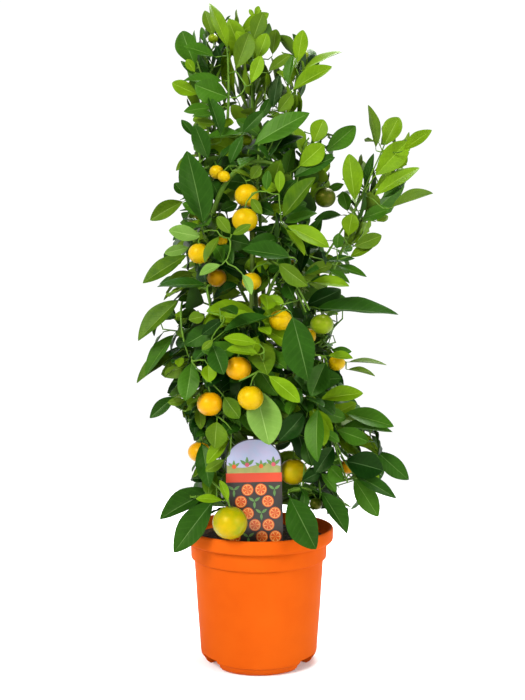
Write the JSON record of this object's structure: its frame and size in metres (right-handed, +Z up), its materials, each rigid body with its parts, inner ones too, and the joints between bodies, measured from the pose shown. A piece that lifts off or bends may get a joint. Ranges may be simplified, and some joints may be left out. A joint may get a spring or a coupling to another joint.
{
  "type": "potted calamondin orange tree",
  "caption": "Small citrus tree with upright leaders, glossy leaves and round orange fruit, standing in an orange plastic nursery pot with a card label in the soil.",
  "frame": {"origin": "centre of the pot's flat underside", "axes": "+Z up along the tree, -Y towards the front where the label stands, +X to the right"},
  "size_m": [0.3721, 0.2895, 0.8407],
  "materials": {
    "pot": "satin injection-moulded orange plastic",
    "soil": "moist dark brown peat",
    "label": "glossy printed plastic card",
    "bark": "thin brown-green bark",
    "green_wood": "smooth green young bark",
    "foliage": "glossy leathery leaves"
  },
  "bodies": {
    "root": {"pot": "pot", "soil": "soil", "label": "label", "trunk": "bark", "leader_left": "bark", "leader_centre": "bark", "leader_right": "bark", "leader_front": "bark", "leader_back": "bark", "bough_upper_left": "green_wood", "bough_upper_right": "green_wood", "bough_branch_right": "green_wood", "bough_shoulder_front_left": "green_wood", "bough_shoulder_front_right": "green_wood", "bough_shoulder_back_left": "green_wood", "bough_shoulder_back_right": "green_wood", "bough_middle_left": "green_wood", "bough_middle_front": "green_wood", "bough_middle_right": "green_wood", "bough_middle_back": "green_wood", "bough_low_front_left": "green_wood", "bough_low_front_right": "green_wood", "bough_low_right": "green_wood", "bough_low_back_left": "green_wood", "bough_low_back_right": "green_wood", "bough_skirt_left": "green_wood", "bough_skirt_right": "green_wood", "bough_skirt_far_right": "green_wood", "bough_skirt_back": "green_wood", "foliage_tip_left": "foliage", "foliage_tip_centre": "foliage", "foliage_tip_right": "foliage", "foliage_upper_left": "foliage", "foliage_upper_front": "foliage", "foliage_upper_right": "foliage", "foliage_upper_back": "foliage", "foliage_branch_right": "foliage", "foliage_shoulder_front_left": "foliage", "foliage_shoulder_front_right": "foliage", "foliage_shoulder_back_left": "foliage", "foliage_shoulder_back_right": "foliage", "foliage_middle_left": "foliage", "foliage_middle_front": "foliage", "foliage_middle_right": "foliage", "foliage_middle_back": "foliage", "foliage_low_front_left": "foliage", "foliage_low_front_right": "foliage", "foliage_low_right": "foliage", "foliage_low_back_left": "foliage", "foliage_low_back_right": "foliage", "foliage_skirt_left": "foliage", "foliage_skirt_right": "foliage", "foliage_skirt_far_right": "foliage", "foliage_skirt_back": "foliage"}
  },
  "joints": []
}
